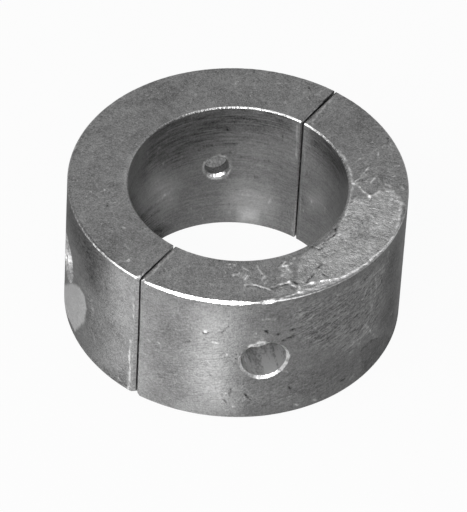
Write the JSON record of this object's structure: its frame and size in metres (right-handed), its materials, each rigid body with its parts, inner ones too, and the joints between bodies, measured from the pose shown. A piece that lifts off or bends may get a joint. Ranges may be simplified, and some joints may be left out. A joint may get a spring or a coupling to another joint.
{
  "type": "split collar sacrificial anode",
  "caption": "Thick-walled cast zinc ring in two halves, with stepped radial screw holes through the wall, that closes around a hub or shaft as a sacrificial anode.",
  "frame": {"origin": "middle of the bore at the lower face, between the centres of the two halves' round walls", "axes": "+Z along the bore axis, +X along the split between the halves, +Y out through the middle of collar_half_a"},
  "size_m": [0.094, 0.0932, 0.0445],
  "materials": {
    "cast_zinc": "bare cast zinc, matte grey, with a fine grain and bright broken edges"
  },
  "bodies": {
    "root": {"collar_half_a": "cast_zinc", "collar_half_b": "cast_zinc"}
  },
  "joints": []
}
